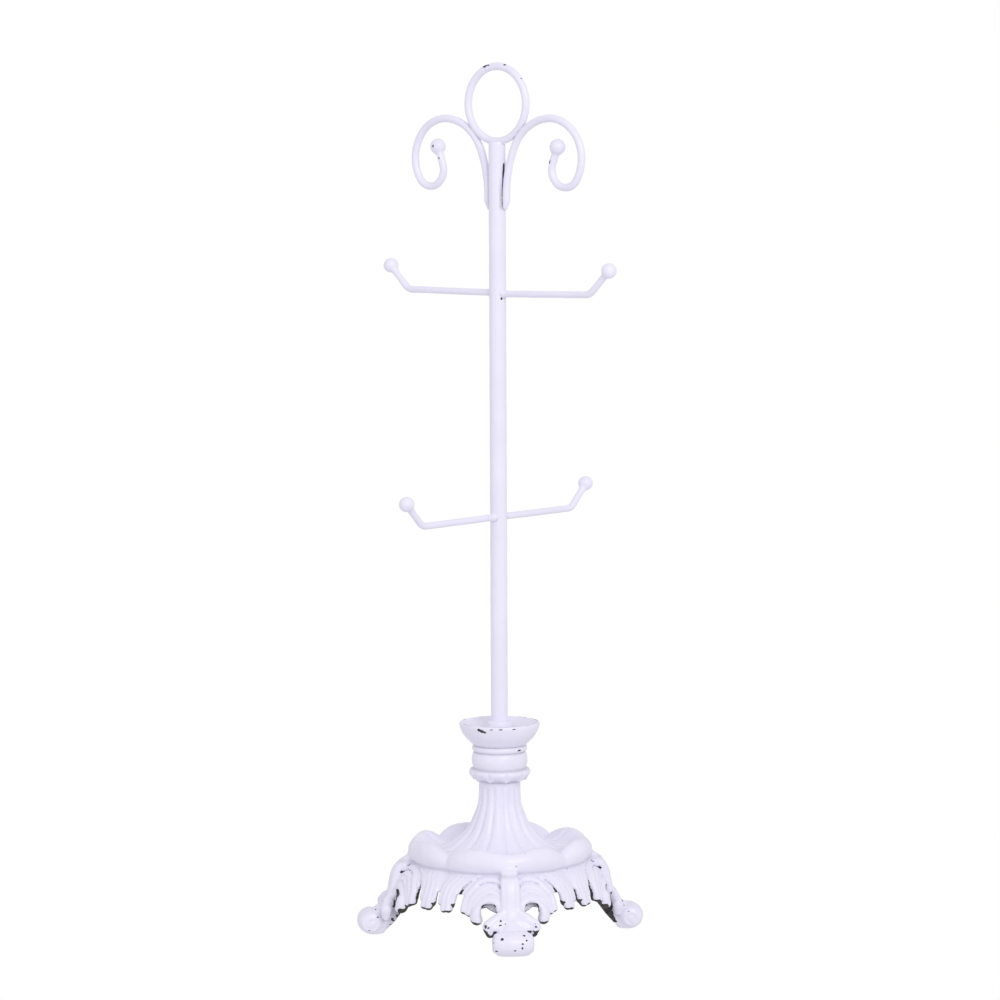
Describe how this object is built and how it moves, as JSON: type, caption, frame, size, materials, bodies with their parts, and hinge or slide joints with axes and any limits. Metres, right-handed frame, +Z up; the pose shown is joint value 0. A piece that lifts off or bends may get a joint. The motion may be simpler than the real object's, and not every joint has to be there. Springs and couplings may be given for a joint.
{
  "type": "mug tree",
  "caption": "Countertop mug tree: slender post with two crossed tiers of turned-up wire hooks, ring and scroll finial, fluted cast pedestal with petals on leaf feet.",
  "frame": {"origin": "on the table at the post's axis, in the plane of the four soles", "axes": "+Z up the post; +X along the right upper hook, with the ring and both scrolls in the XZ plane; the lower hooks lie along Y and the feet on the diagonals; -Y is the front"},
  "size_m": [0.1704, 0.1704, 0.5],
  "materials": {
    "painted_casting": "brushed-on satin white paint over dark cast iron, chipped",
    "painted_steel": "brushed-on satin white paint over steel wire and tube, chipped",
    "zinc_plate": "bright zinc plate",
    "plain_steel": "plain steel"
  },
  "bodies": {
    "root": {"foot_casting": "painted_casting", "scalloped_collar": "painted_casting", "neck_barrel": "painted_casting", "bead_ring": "painted_casting", "drip_dish": "painted_casting", "tie_bolt": "zinc_plate", "tie_washer": "zinc_plate", "lock_washer": "plain_steel", "post_plug": "plain_steel", "post_flange": "painted_steel", "post_tube": "painted_steel", "hook_upper_left": "painted_steel", "hook_upper_right": "painted_steel", "hook_lower_front": "painted_steel", "hook_lower_back": "painted_steel", "ball_upper_left": "painted_steel", "ball_upper_right": "painted_steel", "ball_lower_front": "painted_steel", "ball_lower_back": "painted_steel", "top_ring": "painted_steel", "scroll_left": "painted_steel", "scroll_right": "painted_steel", "scroll_ball_left": "painted_steel", "scroll_ball_right": "painted_steel"}
  },
  "joints": []
}
